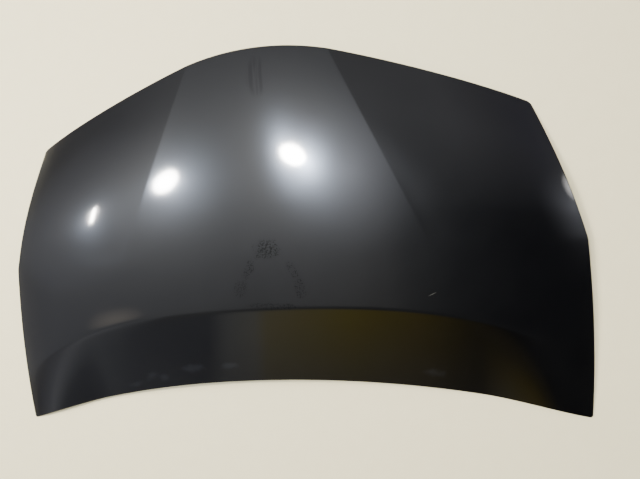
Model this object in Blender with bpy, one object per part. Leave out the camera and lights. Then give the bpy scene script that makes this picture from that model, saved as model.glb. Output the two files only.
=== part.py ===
"""Car bonnet: a hemmed outer skin over a stamped inner panel, with the reinforcements,
weld nuts, striker and mastic pads that such a panel carries.

Metres, +Z up, +Y to the nose, +X to the right seen from above with the nose on top.
The bonnet lies outer side up on the hems of its four corners. The origin is on that
floor, under the middle of the bounding box.
"""

import math

import bmesh
import bpy

# Plan outline, measured from the centre line and from the line through the rear corners.
LENGTH = 0.867
HALF_WIDTH_REAR = 0.688
HALF_WIDTH_KINK = 0.690
HALF_WIDTH_FRONT = 0.591
KINK_SHARE_OF_LENGTH = 0.457901
SIDE_BOW_FRONT = 0.005
SIDE_BOW_REAR = 0.006
NOSE_RADIUS = 0.633
NOSE_RADIUS_HALF_WIDTH = 0.173
NOSE_FLANK_RADIUS = 4.05
REAR_HOLLOW = 0.107
CORNER_PULL = 0.0022
FLANGE_CORNER_PULL = 0.0045

# Shape of the outer surface.
SPINE_HEIGHT = 0.090
SPINE_TOP_FROM_REAR = 0.420
SPINE_BEND = 0.102
CROWN_REAR = 0.118
CROWN_FRONT = 0.1305
SHOULDER_DROP = 0.0133
SHOULDER_POWER = 10
FLANK_CREASE_AT_NOSE = 0.163
FLANK_CREASE_REAR_SHARE = 0.782660
FLANK_CREASE_SLOPE = 0.088
FLANK_CREASE_FADE_START = 0.450
FLANK_CREASE_FADE_LENGTH = 0.395
REAR_CREASE_FROM_REAR = 0.2816
REAR_CREASE_HALF_WIDTH = 0.660
REAR_CREASE_SWEEP = 0.0713
REAR_CREASE_END_SWEEP = 0.0705
REAR_CREASE_SLOPE = 0.197
REAR_CREASE_FADE_LENGTH = 0.240

# Sheets and the hem that folds the skin round the inner panel's flange.
SKIN_SHEET = 0.0007
INNER_SHEET = 0.0007
SEAM_GAP = 0.0003
HEM_DEPTH = 0.0105
FOLD_STEPS = 4
FLANGE_END_INSET = 0.0019
FLANGE_BEND_INSET = 0.015

# Inner panel: channels, lands and lightening holes.
CHANNEL_DEPTH = 0.016
CHANNEL_FLOOR_CLEARANCE = 0.003
LAND_GAP = 0.0042
WALL_RUN = 0.012
RIM_CHANNEL_OUTER_INSET = 0.026
SIDE_CHANNEL_WIDTH = 0.054
NOSE_CHANNEL_WIDTH = 0.076
CENTRE_RIB_HALF_WIDTH = 0.030
FLANK_RIB_HALF_WIDTH = 0.030
CREASE_RIB_HALF_WIDTH = 0.028
CROSS_RIB_HALF_WIDTH = 0.028
BAND_LINES = (("channel", 0.44), ("land", 0.52), ("land", 0.74), ("channel", 0.88))
CELLS_INSIDE_CREASE = 3
CELLS_OUTSIDE_CREASE = 4
CELLS_BEHIND_CROSS_RIB = 3
CELLS_BEFORE_CROSS_RIB = 2
HOLE_MARGIN = 0.013
HOLE_POINTS = 12
HOLE_SQUARENESS = 2.6

# Flat pads stamped in the inner panel for the hinges and the latch.
HINGE_PAD_HEIGHT = 0.0045
HINGE_SHARE_OF_PAD = 0.6373
HINGE_FROM_REAR = 0.108
HINGE_PAD_REACH = 0.092
HINGE_BOLT_SPACING = 0.056
HINGE_PLATE_WIDTH = 0.046
HINGE_PLATE_LENGTH = 0.084
HINGE_PLATE_THICKNESS = 0.0015
LATCH_PAD_HEIGHT = 0.050
LATCH_FROM_NOSE = 0.062
LATCH_PLATE_WIDTH = 0.124
LATCH_PLATE_LENGTH = 0.052
LATCH_PLATE_THICKNESS = 0.0015

# Striker: a plate on two bolts and a bent wire loop standing down from it.
STRIKER_PLATE_WIDTH = 0.084
STRIKER_PLATE_LENGTH = 0.046
STRIKER_PLATE_THICKNESS = 0.003
STRIKER_BOLT_SPACING = 0.060
STRIKER_WIRE_RADIUS = 0.004
STRIKER_LOOP_PITCH = 0.030
STRIKER_LOOP_REACH = 0.034
STRIKER_BEND_RADIUS = 0.009
STRIKER_WIRE_SIDES = 12
STRIKER_BEND_STEPS = 5

# Fasteners, all M8.
BOLT_RADIUS = 0.004
BOLT_HOLE_RADIUS = 0.0046
NUT_ACROSS_FLATS = 0.013
NUT_HEIGHT = 0.0065
HEAD_FLANGE_RADIUS = 0.0085
HEAD_FLANGE_THICKNESS = 0.0015
HEAD_HEIGHT = 0.0075
THREAD_PAST_NUT = 0.002
FASTENER_SIDES = 12
CUTTER_REACH = 0.008
PLATE_CORNER = 0.008
CORNER_STEPS = 3

# Dent plate under the nose, prop reinforcement and mastic pads.
DENT_PLATE_SHEET = 0.0007
DENT_PLATE_HALF_WIDTH = 0.135
DENT_PLATE_FRONT_INSET = 0.032
DENT_PLATE_REAR_INSET = 0.138
CELLS_OUT_BACKED_BY_DENT_PLATE = 4
CELLS_ACROSS_DENT_PLATE = 12
CELLS_ALONG_DENT_PLATE = 5
PROP_PLATE_THICKNESS = 0.0012
CELLS_FROM_HINGE_TO_PROP_PLATE = 4
CELLS_FROM_SIDE_TO_PROP_PLATE = 2
PROP_PLATE_MARGIN_ACROSS = 0.15
PROP_PLATE_MARGIN_ALONG = 0.10
MASTIC_RADIUS = 0.011
MASTIC_SIDES = 12

E_COAT = ((0.026, 0.027, 0.030), 0.33, 0.0)
INNER_COAT = ((0.022, 0.023, 0.025), 0.45, 0.0)
ZINC = ((0.46, 0.46, 0.43), 0.38, 1.0)
MASTIC = ((0.030, 0.028, 0.027), 0.85, 0.0)

fold_radius = (2 * SKIN_SHEET + INNER_SHEET + 2 * SEAM_GAP) / 2
hem_stack = 2 * fold_radius


def ease(t):
    t = min(max(t, 0.0), 1.0)
    return t * t * (3 - 2 * t)


def lerp(a, b, t):
    return a + (b - a) * t


# Outline curves. Each takes and gives plan sizes measured from the rear corners.

def nose_edge(x):
    """Front edge: one arc across the nose, then a flatter arc that leaves it tangentially."""
    x = abs(x)
    nose_centre = LENGTH - NOSE_RADIUS
    if x < NOSE_RADIUS_HALF_WIDTH:
        return nose_centre + math.sqrt(NOSE_RADIUS ** 2 - x ** 2)
    sine = NOSE_RADIUS_HALF_WIDTH / NOSE_RADIUS
    cosine = math.sqrt(1 - sine ** 2)
    flank_x = NOSE_RADIUS_HALF_WIDTH - NOSE_FLANK_RADIUS * sine
    flank_y = nose_centre + (NOSE_RADIUS - NOSE_FLANK_RADIUS) * cosine
    return flank_y + math.sqrt(NOSE_FLANK_RADIUS ** 2 - (x - flank_x) ** 2)


def rear_edge(x):
    """Rear edge: one arc, hollow towards the nose."""
    radius = (HALF_WIDTH_REAR ** 2 + REAR_HOLLOW ** 2) / (2 * REAR_HOLLOW)
    return REAR_HOLLOW - radius + math.sqrt(radius ** 2 - x ** 2)


def bowed_side(y, start, end, bow):
    """Half width at y on the arc from start to end that bulges outwards by bow."""
    run_x = end[0] - start[0]
    run_y = end[1] - start[1]
    chord = math.hypot(run_x, run_y)
    radius = (chord ** 2 / 4 + bow ** 2) / (2 * bow)
    back = radius - bow
    centre_x = (start[0] + end[0]) / 2 - back * run_y / chord
    centre_y = (start[1] + end[1]) / 2 + back * run_x / chord
    return centre_x + math.sqrt(radius ** 2 - (y - centre_y) ** 2)


front_corner = (HALF_WIDTH_FRONT, nose_edge(HALF_WIDTH_FRONT))
kink_from_rear = KINK_SHARE_OF_LENGTH * LENGTH
kink = (HALF_WIDTH_KINK, kink_from_rear)
rear_corner = (HALF_WIDTH_REAR, 0.0)


def side_edge(y):
    """Half width at y: two shallow arcs that meet at the kink."""
    if y > kink_from_rear:
        return bowed_side(y, kink, front_corner, SIDE_BOW_FRONT)
    return bowed_side(y, rear_corner, kink, SIDE_BOW_REAR)


def rear_crease(x):
    share = x / REAR_CREASE_HALF_WIDTH
    return REAR_CREASE_FROM_REAR - REAR_CREASE_SWEEP * share ** 2 - REAR_CREASE_END_SWEEP * share ** 4


def flank_crease(y):
    """Straight in plan, from the nose to a share of the half width on the rear corners' line."""
    at_rear = FLANK_CREASE_REAR_SHARE * HALF_WIDTH_REAR
    return lerp(at_rear, FLANK_CREASE_AT_NOSE, y / nose_edge(FLANK_CREASE_AT_NOSE))


def raw_height(x, y):
    """Outer surface: a crowned field broken by the two flank creases and the rear crease."""
    x = abs(x)
    spine = SPINE_HEIGHT - SPINE_BEND * (y - SPINE_TOP_FROM_REAR) ** 2
    crown = lerp(CROWN_REAR, CROWN_FRONT, y / LENGTH) * x ** 2
    shoulder = SHOULDER_DROP * min(x / side_edge(y), 1.0) ** SHOULDER_POWER
    flank_fade = ease((y - FLANK_CREASE_FADE_START) / FLANK_CREASE_FADE_LENGTH)
    flank = FLANK_CREASE_SLOPE * flank_fade * max(x - flank_crease(y), 0.0)
    band_fade = ease((HALF_WIDTH_KINK - x) / REAR_CREASE_FADE_LENGTH)
    band = REAR_CREASE_SLOPE * band_fade * max(rear_crease(x) - y, 0.0)
    return spine - crown - shoulder - flank - band


# Stations: a grid line is a function of where it crosses, so lines follow creases and edges.

def column_fixed(x):
    def place(y):
        return x
    return place


def column_by_crease(offset):
    def place(y):
        return flank_crease(y) + offset
    return place


def column_past_crease(share, start_offset, end_inset):
    def place(y):
        return lerp(flank_crease(y) + start_offset, side_edge(y) - end_inset, share)
    return place


def column_from_side(inset):
    def place(y):
        return side_edge(y) - inset
    return place


def row_in_band(share, start_inset):
    def place(x):
        return lerp(rear_edge(x) + start_inset, rear_crease(x), share)
    return place


def row_by_crease(offset):
    def place(x):
        return rear_crease(x) + offset
    return place


def row_from_nose(inset):
    def place(x):
        return nose_edge(x) - inset
    return place


def cross_point(column, row):
    """Where a column and a row meet, found by going back and forth between them."""
    x = HALF_WIDTH_KINK / 2
    y = row(x)
    for _ in range(24):
        x = column(min(max(y, 0.0), LENGTH))
        y = row(x)
    return x, y


def mirrored_grid(columns, rows):
    """Plan points of a full grid, left to right in each row, from the right half's columns."""
    grid = []
    for row in rows:
        right = [cross_point(column, row) for column in columns]
        left = [(-x, y) for x, y in reversed(right[1:])]
        grid.append(left + right)
    return grid


# Lines that the skin and the inner panel share, so that their facets lie parallel. Each has
# the level of the inner panel along it: a channel, or a land just under the skin.

def shared_columns():
    """Right half, from the centre line out."""
    channel_inner = RIM_CHANNEL_OUTER_INSET + SIDE_CHANNEL_WIDTH
    land_inset = channel_inner + WALL_RUN
    centre_land = CENTRE_RIB_HALF_WIDTH + WALL_RUN
    rib_land = FLANK_RIB_HALF_WIDTH + WALL_RUN

    def between_ribs(share):
        def place(y):
            return lerp(centre_land, flank_crease(y) - rib_land, share)
        return place

    lines = [("channel", column_fixed(0.0)), ("channel", column_fixed(CENTRE_RIB_HALF_WIDTH))]
    lines += [("land", between_ribs(k / CELLS_INSIDE_CREASE)) for k in range(CELLS_INSIDE_CREASE + 1)]
    lines += [("channel", column_by_crease(offset))
              for offset in (-FLANK_RIB_HALF_WIDTH, 0.0, FLANK_RIB_HALF_WIDTH)]
    lines += [("land", column_past_crease(k / CELLS_OUTSIDE_CREASE, rib_land, land_inset))
              for k in range(CELLS_OUTSIDE_CREASE + 1)]
    channel_middle = (channel_inner + RIM_CHANNEL_OUTER_INSET) / 2
    lines += [("channel", column_from_side(inset))
              for inset in (channel_inner, channel_middle, RIM_CHANNEL_OUTER_INSET)]
    return lines


def shared_rows():
    """From the rear edge to the nose. The cross rib runs from kink to kink."""
    nose_inner = RIM_CHANNEL_OUTER_INSET + NOSE_CHANNEL_WIDTH
    nose_land = nose_inner + WALL_RUN
    crease_land = CREASE_RIB_HALF_WIDTH + WALL_RUN
    cross_land = CROSS_RIB_HALF_WIDTH + WALL_RUN
    kink_start = rear_crease(HALF_WIDTH_KINK) + crease_land
    kink_end = nose_edge(HALF_WIDTH_KINK) - nose_land
    kink_share = (kink_from_rear - kink_start) / (kink_end - kink_start)

    def cross_rib(offset):
        def place(x):
            return lerp(rear_crease(x) + crease_land, nose_edge(x) - nose_land, kink_share) + offset
        return place

    def between(start, end, share):
        def place(x):
            return lerp(start(x), end(x), share)
        return place

    field_start = row_by_crease(crease_land)
    field_end = row_from_nose(nose_land)
    lines = [("channel", row_in_band(0.0, RIM_CHANNEL_OUTER_INSET))]
    lines += [(level, row_in_band(share, 0.0)) for level, share in BAND_LINES]
    lines += [("channel", row_by_crease(0.0)), ("channel", row_by_crease(CREASE_RIB_HALF_WIDTH))]
    lines += [("land", between(field_start, cross_rib(-cross_land), k / CELLS_BEHIND_CROSS_RIB))
              for k in range(CELLS_BEHIND_CROSS_RIB + 1)]
    lines += [("channel", cross_rib(offset)) for offset in (-CROSS_RIB_HALF_WIDTH, 0.0, CROSS_RIB_HALF_WIDTH)]
    lines += [("land", between(cross_rib(cross_land), field_end, k / CELLS_BEFORE_CROSS_RIB))
              for k in range(CELLS_BEFORE_CROSS_RIB + 1)]
    lines += [("channel", row_from_nose(nose_inner)),
              ("channel", row_from_nose((nose_inner + RIM_CHANNEL_OUTER_INSET) / 2)),
              ("channel", row_from_nose(RIM_CHANNEL_OUTER_INSET))]
    return lines


# Plan of the skin: its grid, its border and the line where the border starts to fold under.

def skin_columns():
    return [line for _, line in shared_columns()] + [column_from_side(HEM_DEPTH), side_edge]


def skin_rows():
    rear = [rear_edge, row_in_band(0.0, HEM_DEPTH)]
    return rear + [line for _, line in shared_rows()] + [row_from_nose(HEM_DEPTH), nose_edge]


def grid_border(row_count, column_count):
    """Border cells in order, counter-clockwise seen from above."""
    front = [(0, c) for c in range(column_count)]
    right = [(r, column_count - 1) for r in range(1, row_count)]
    back = [(row_count - 1, c) for c in range(column_count - 2, -1, -1)]
    left = [(r, 0) for r in range(row_count - 2, 0, -1)]
    return front + right + back + left


def outward_normals(points):
    """Plan normals of a counter-clockwise outline, each square to the chord past its point."""
    normals = []
    count = len(points)
    for k in range(count):
        before = points[k - 1]
        after = points[(k + 1) % count]
        run_x = after[0] - before[0]
        run_y = after[1] - before[1]
        size = math.hypot(run_x, run_y)
        normals.append((run_y / size, -run_x / size))
    return normals


def fold_line(grid, border, normals):
    """Where each border point starts to fold: inset by the fold, and more at the corners."""
    corners = {(0, 0), (0, len(grid[0]) - 1), (len(grid) - 1, 0), (len(grid) - 1, len(grid[0]) - 1)}
    rim = {}
    for cell, normal in zip(border, normals):
        x, y = grid[cell[0]][cell[1]]
        inset = fold_radius + (CORNER_PULL if cell in corners else 0.0)
        rim[cell] = (x - normal[0] * inset, y - normal[1] * inset)
    return rim


skin_grid = mirrored_grid(skin_columns(), skin_rows())
skin_border = grid_border(len(skin_grid), len(skin_grid[0]))
skin_normals = outward_normals([skin_grid[r][c] for r, c in skin_border])
skin_rim = fold_line(skin_grid, skin_border, skin_normals)
edge_reach = [skin_rim[cell][1] + fold_radius * normal[1] for cell, normal in zip(skin_border, skin_normals)]
mid_length = (min(edge_reach) + max(edge_reach)) / 2
floor_level = min(raw_height(x, y) for x, y in skin_rim.values()) - hem_stack


def height(x, y):
    """Outer surface above the floor that the lowest hems rest on."""
    return raw_height(x, y) - floor_level


# Objects and materials.

def make_material(name, finish):
    colour, roughness, metallic = finish
    material = bpy.data.materials.new(name)
    material.use_nodes = True
    shader = material.node_tree.nodes["Principled BSDF"]
    shader.inputs["Base Color"].default_value = (*colour, 1.0)
    shader.inputs["Roughness"].default_value = roughness
    shader.inputs["Metallic"].default_value = metallic
    return material


def add_object(name, vertices, faces, finish, smooth_angle=None):
    """One named object with its own material, from points measured from the rear corners."""
    mesh = bpy.data.meshes.new(name)
    mesh.from_pydata([(x, y - mid_length, z) for x, y, z in vertices], [], faces)
    if smooth_angle is not None:
        mesh.shade_smooth()
        mesh.set_sharp_from_angle(angle=math.radians(smooth_angle))
    mesh.materials.append(make_material(name, finish))
    obj = bpy.data.objects.new(name, mesh)
    bpy.context.collection.objects.link(obj)
    return obj


def thicken(obj, thickness):
    """Gives a sheet its metal, grown from the drawn face against its normal."""
    solidify = obj.modifiers.new("sheet thickness", "SOLIDIFY")
    solidify.thickness = thickness
    solidify.offset = -1.0
    solidify.use_even_offset = True


def cut(obj, cutter):
    boolean = obj.modifiers.new("bolt holes", "BOOLEAN")
    boolean.operation = "DIFFERENCE"
    boolean.solver = "EXACT"
    boolean.object = cutter


def stacked_rings(rings):
    """Closed body from rings of equal point count, capped at both ends."""
    count = len(rings[0])
    vertices = [point for ring in rings for point in ring]
    faces = []
    for level in range(len(rings) - 1):
        low = level * count
        high = low + count
        for k in range(count):
            nxt = (k + 1) % count
            faces.append((low + k, low + nxt, high + nxt, high + k))
    faces.append(tuple(reversed(range(count))))
    faces.append(tuple(range(len(vertices) - count, len(vertices))))
    return vertices, faces


def circle(x, y, z, radius, sides=FASTENER_SIDES):
    turn = 2 * math.pi / sides
    return [(x + radius * math.cos(k * turn), y + radius * math.sin(k * turn), z) for k in range(sides)]


def hexagon(x, y, z, across_flats, sides=FASTENER_SIDES):
    """A hexagon drawn with extra points on its flats, so it joins a circle point for point."""
    points = []
    for k in range(sides):
        angle = 2 * math.pi * k / sides
        from_flat = (angle + math.pi / 6) % (math.pi / 3) - math.pi / 6
        radius = across_flats / 2 / math.cos(from_flat)
        points.append((x + radius * math.cos(angle), y + radius * math.sin(angle), z))
    return points


def rounded_rectangle(x, y, z, width, length, corner):
    points = []
    for quarter in range(4):
        sign_x = 1 if quarter in (0, 3) else -1
        sign_y = 1 if quarter in (0, 1) else -1
        centre_x = x + sign_x * (width / 2 - corner)
        centre_y = y + sign_y * (length / 2 - corner)
        for step in range(CORNER_STEPS + 1):
            angle = math.pi / 2 * (quarter + step / CORNER_STEPS)
            points.append((centre_x + corner * math.cos(angle), centre_y + corner * math.sin(angle), z))
    return points


# Outer skin.

def make_outer_skin():
    """Crowned sheet whose border folds under by half a turn and returns along itself."""
    row_count = len(skin_grid)
    column_count = len(skin_grid[0])
    vertices = []
    for r in range(row_count):
        for c in range(column_count):
            x, y = skin_rim.get((r, c), skin_grid[r][c])
            vertices.append((x, y, height(x, y)))

    def at(r, c):
        return r * column_count + c

    faces = []
    for r in range(row_count - 1):
        for c in range(column_count - 1):
            faces.append((at(r, c), at(r, c + 1), at(r + 1, c + 1), at(r + 1, c)))

    previous = [at(r, c) for r, c in skin_border]
    count = len(skin_border)
    for step in range(1, FOLD_STEPS + 1):
        angle = math.pi * step / FOLD_STEPS
        ring = []
        for cell, normal in zip(skin_border, skin_normals):
            x, y = skin_rim[cell]
            reach = fold_radius * math.sin(angle)
            drop = fold_radius * (1 - math.cos(angle))
            ring.append(len(vertices))
            vertices.append((x + normal[0] * reach, y + normal[1] * reach, height(x, y) - drop))
        for k in range(count):
            nxt = (k + 1) % count
            faces.append((previous[nxt], previous[k], ring[k], ring[nxt]))
        previous = ring

    under = {}
    flange = []
    for r, c in skin_border:
        inner = (min(max(r, 1), row_count - 2), min(max(c, 1), column_count - 2))
        if inner not in under:
            x, y = skin_grid[inner[0]][inner[1]]
            under[inner] = len(vertices)
            vertices.append((x, y, height(x, y) - hem_stack))
        flange.append(under[inner])
    for k in range(count):
        nxt = (k + 1) % count
        if flange[k] == flange[nxt]:
            faces.append((previous[nxt], previous[k], flange[k]))
        else:
            faces.append((previous[nxt], previous[k], flange[k], flange[nxt]))

    skin = add_object("outer_skin", vertices, faces, E_COAT, 40)
    thicken(skin, SKIN_SHEET)


# Inner panel. A line of the grid is a flange, a channel or a land line; a point is as low as
# the lower of its two lines, and the pads override both.

def inner_columns():
    flanges = [("flange", column_from_side(inset)) for inset in (FLANGE_BEND_INSET, FLANGE_END_INSET)]
    return shared_columns() + flanges


def inner_rows():
    rear = [("flange", row_in_band(0.0, inset)) for inset in (FLANGE_END_INSET, FLANGE_BEND_INSET)]
    nose = [("flange", row_from_nose(inset)) for inset in (FLANGE_BEND_INSET, FLANGE_END_INSET)]
    return rear + shared_rows() + nose


flange_drop = SKIN_SHEET + SEAM_GAP
hinge_pad_inner = flank_crease(HINGE_FROM_REAR) + FLANK_RIB_HALF_WIDTH + WALL_RUN
hinge_pad_outer = side_edge(HINGE_FROM_REAR) - RIM_CHANNEL_OUTER_INSET - SIDE_CHANNEL_WIDTH
hinge_x = lerp(hinge_pad_inner, hinge_pad_outer, HINGE_SHARE_OF_PAD)
HINGE_PAD_FIRST_COLUMN = 9
HINGE_PAD_COLUMNS = range(HINGE_PAD_FIRST_COLUMN, HINGE_PAD_FIRST_COLUMN + CELLS_OUTSIDE_CREASE + 2)
HINGE_PAD_ROWS = range(2, 3 + len(BAND_LINES))
LATCH_PAD_COLUMNS = range(0, 4)


def pulled_in(point, toward, distance):
    share = distance / math.dist(point, toward)
    return lerp(point[0], toward[0], share), lerp(point[1], toward[1], share)


class InnerGrid:
    """Plan points and heights of the inner panel's upper face."""

    def __init__(self):
        column_lines = inner_columns()
        row_lines = inner_rows()
        half = len(column_lines)
        self.points = mirrored_grid([line for _, line in column_lines], [line for _, line in row_lines])
        right_levels = [level for level, _ in column_lines]
        self.column_levels = right_levels[:0:-1] + right_levels
        self.row_levels = [level for level, _ in row_lines]
        self.centre = half - 1
        self.rows = len(self.points)
        self.columns = len(self.points[0])
        self.latch_rows = range(self.rows - 5, self.rows - 2)
        for r, c in ((0, 0), (0, -1), (-1, 0), (-1, -1)):
            inner_r = 1 if r == 0 else -2
            inner_c = 1 if c == 0 else -2
            toward = self.points[inner_r][inner_c]
            self.points[r][c] = pulled_in(self.points[r][c], toward, FLANGE_CORNER_PULL)
        self.heights = [[self.level(r, c) for c in range(self.columns)] for r in range(self.rows)]

    def level(self, r, c):
        x, y = self.points[r][c]
        skin = height(x, y)
        out = abs(c - self.centre)
        if r in HINGE_PAD_ROWS and out in HINGE_PAD_COLUMNS:
            return HINGE_PAD_HEIGHT
        if r in self.latch_rows and out in LATCH_PAD_COLUMNS:
            return LATCH_PAD_HEIGHT
        lines = (self.row_levels[r], self.column_levels[c])
        if "flange" in lines:
            return skin - flange_drop
        channel = max(skin - CHANNEL_DEPTH, CHANNEL_FLOOR_CLEARANCE + INNER_SHEET)
        if "channel" in lines:
            return min(channel, skin - flange_drop)
        return skin - LAND_GAP

    def point(self, r, c, share_x, share_y):
        """Bilinear point of the cell whose low corner is (r, c)."""
        low = [lerp(a, b, share_x) for a, b in zip(self.corner(r, c), self.corner(r, c + 1))]
        high = [lerp(a, b, share_x) for a, b in zip(self.corner(r + 1, c), self.corner(r + 1, c + 1))]
        return tuple(lerp(a, b, share_y) for a, b in zip(low, high))

    def corner(self, r, c):
        x, y = self.points[r][c]
        return x, y, self.heights[r][c]

    def is_land(self, r, c):
        rows_land = self.row_levels[r] == "land" and self.row_levels[r + 1] == "land"
        columns_land = self.column_levels[c] == "land" and self.column_levels[c + 1] == "land"
        pad = abs(self.points[r][c][0]) > hinge_x - HINGE_PAD_REACH and r < HINGE_PAD_ROWS[-1]
        return rows_land and columns_land and not pad

    def cell_size(self, r, c):
        a = self.point(r, c, 0.0, 0.5)
        b = self.point(r, c, 1.0, 0.5)
        low = self.point(r, c, 0.5, 0.0)
        high = self.point(r, c, 0.5, 1.0)
        return math.dist(a, b), math.dist(low, high)

    def side_out(self, c):
        """Column cell counted from the centre line, equal for both halves."""
        return c - self.centre if c >= self.centre else self.centre - 1 - c

    def has_hole(self, r, c):
        return self.is_land(r, c) and (r + self.side_out(c)) % 2 == 0

    def backed_by_dent_plate(self, r, c):
        """The land cells next to the nose channel and the centre rib."""
        first = self.latch_rows[0] - 2
        return r >= first and self.side_out(c) < CELLS_OUT_BACKED_BY_DENT_PLATE

    def has_pad(self, r, c):
        """Every second cell without a hole, except where the dent plate takes the space."""
        free = self.is_land(r, c) and not self.has_hole(r, c) and not self.backed_by_dent_plate(r, c)
        return free and (r - self.side_out(c)) % 4 == 1


def hole_ring(grid, r, c):
    """Points of a rounded opening in a cell, anticlockwise, in the cell's own surface."""
    width, length = grid.cell_size(r, c)
    reach_x = 0.5 - HOLE_MARGIN / width
    reach_y = 0.5 - HOLE_MARGIN / length
    ring = []
    for k in range(HOLE_POINTS):
        angle = 2 * math.pi * (k + 0.5) / HOLE_POINTS
        cosine = math.cos(angle)
        sine = math.sin(angle)
        share_x = 0.5 + reach_x * math.copysign(abs(cosine) ** (2 / HOLE_SQUARENESS), cosine)
        share_y = 0.5 + reach_y * math.copysign(abs(sine) ** (2 / HOLE_SQUARENESS), sine)
        ring.append(grid.point(r, c, share_x, share_y))
    return ring


def make_inner_panel(grid, bolt_cutters):
    """One stamping: rim flange for the hem, rim channel, ribs, lands and lightening holes."""
    vertices = [grid.corner(r, c) for r in range(grid.rows) for c in range(grid.columns)]
    faces = []
    quarter = HOLE_POINTS // 4
    for r in range(grid.rows - 1):
        for c in range(grid.columns - 1):
            low = r * grid.columns + c
            high = low + grid.columns
            corners = (high + 1, high, low, low + 1)
            if not grid.has_hole(r, c):
                faces.append((low, low + 1, high + 1, high))
                continue
            first = len(vertices)
            vertices.extend(hole_ring(grid, r, c))
            for side in range(4):
                corner = corners[side]
                start = side * quarter
                for k in range(start, start + quarter - 1):
                    faces.append((corner, first + k + 1, first + k))
                last = first + start + quarter - 1
                following = first + (start + quarter) % HOLE_POINTS
                faces.append((corner, corners[(side + 1) % 4], following, last))
    panel = add_object("inner_panel", vertices, faces, INNER_COAT, 30)
    thicken(panel, INNER_SHEET)
    for cutter in bolt_cutters:
        cut(panel, cutter)


# Plates, nuts and bolts on the pads.

def add_cutter(name, x, y, z, radius, reach):
    vertices, faces = stacked_rings([circle(x, y, z - reach, radius), circle(x, y, z + reach, radius)])
    cutter = add_object(name, vertices, faces, ZINC)
    cutter.hide_render = True
    cutter.display_type = "WIRE"
    return cutter


def add_plate(name, x, y, z, width, length, thickness, corner, finish):
    """Flat plate with rounded corners, its underside at z."""
    rings = [rounded_rectangle(x, y, level, width, length, corner) for level in (z, z + thickness)]
    vertices, faces = stacked_rings(rings)
    return add_object(name, vertices, faces, finish)


def add_weld_nut(name, x, y, z):
    outer_low = hexagon(x, y, z, NUT_ACROSS_FLATS)
    outer_high = hexagon(x, y, z + NUT_HEIGHT, NUT_ACROSS_FLATS)
    inner_low = circle(x, y, z, BOLT_RADIUS + SEAM_GAP)
    inner_high = circle(x, y, z + NUT_HEIGHT, BOLT_RADIUS + SEAM_GAP)
    count = FASTENER_SIDES
    vertices = outer_low + outer_high + inner_high + inner_low
    faces = []
    for ring in range(4):
        start = ring * count
        end = (ring + 1) % 4 * count
        for k in range(count):
            nxt = (k + 1) % count
            faces.append((start + k, start + nxt, end + nxt, end + k))
    return add_object(name, vertices, faces, ZINC, 30)


def add_bolt(name, x, y, seat, length):
    """Flanged hexagon bolt, head under the seat, shank going up from it."""
    rings = [
        hexagon(x, y, seat - HEAD_HEIGHT, NUT_ACROSS_FLATS),
        hexagon(x, y, seat - HEAD_FLANGE_THICKNESS, NUT_ACROSS_FLATS),
        circle(x, y, seat - HEAD_FLANGE_THICKNESS, HEAD_FLANGE_RADIUS),
        circle(x, y, seat, HEAD_FLANGE_RADIUS),
        circle(x, y, seat, BOLT_RADIUS),
        circle(x, y, seat + length - BOLT_RADIUS / 4, BOLT_RADIUS),
        circle(x, y, seat + length, BOLT_RADIUS * 3 / 4),
    ]
    vertices, faces = stacked_rings(rings)
    return add_object(name, vertices, faces, ZINC, 30)


def make_hinge_side(side, label, cutters):
    """Reinforcement on the hinge pad with its two weld nuts."""
    x = side * hinge_x
    plate_base = HINGE_PAD_HEIGHT + SEAM_GAP
    plate = add_plate("hinge_reinforcement_" + label, x, HINGE_FROM_REAR, plate_base, HINGE_PLATE_WIDTH,
                      HINGE_PLATE_LENGTH, HINGE_PLATE_THICKNESS, PLATE_CORNER, INNER_COAT)
    nut_base = plate_base + HINGE_PLATE_THICKNESS + SEAM_GAP
    for place, sign in (("rear", -1), ("front", 1)):
        y = HINGE_FROM_REAR + sign * HINGE_BOLT_SPACING / 2
        cutter_name = f"cutter_hinge_{label}_{place}"
        cutter = add_cutter(cutter_name, x, y, HINGE_PAD_HEIGHT, BOLT_HOLE_RADIUS, CUTTER_REACH)
        cutters.append(cutter)
        cut(plate, cutter)
        add_weld_nut(f"hinge_weld_nut_{label}_{place}", x, y, nut_base)


def make_latch(cutters):
    """Latch reinforcement, striker plate, its bolts and nuts, and the wire loop."""
    y = LENGTH - LATCH_FROM_NOSE
    plate_base = LATCH_PAD_HEIGHT + SEAM_GAP
    plate = add_plate("latch_reinforcement", 0.0, y, plate_base, LATCH_PLATE_WIDTH, LATCH_PLATE_LENGTH,
                      LATCH_PLATE_THICKNESS, PLATE_CORNER, INNER_COAT)
    striker_top = LATCH_PAD_HEIGHT - INNER_SHEET - SEAM_GAP
    striker_base = striker_top - STRIKER_PLATE_THICKNESS
    striker = add_plate("striker_plate", 0.0, y, striker_base, STRIKER_PLATE_WIDTH, STRIKER_PLATE_LENGTH,
                        STRIKER_PLATE_THICKNESS, PLATE_CORNER, ZINC)
    nut_base = plate_base + LATCH_PLATE_THICKNESS + SEAM_GAP
    seat = striker_base - SEAM_GAP
    bolt_length = nut_base + NUT_HEIGHT + THREAD_PAST_NUT - seat
    for label, sign in (("left", -1), ("right", 1)):
        x = sign * STRIKER_BOLT_SPACING / 2
        cutter = add_cutter("cutter_striker_" + label, x, y, LATCH_PAD_HEIGHT, BOLT_HOLE_RADIUS, CUTTER_REACH)
        cutters.append(cutter)
        cut(plate, cutter)
        cut(striker, cutter)
        add_weld_nut("striker_weld_nut_" + label, x, y, nut_base)
        add_bolt("striker_bolt_" + label, x, y, seat, bolt_length)
    make_striker_loop(y, seat)


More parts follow.
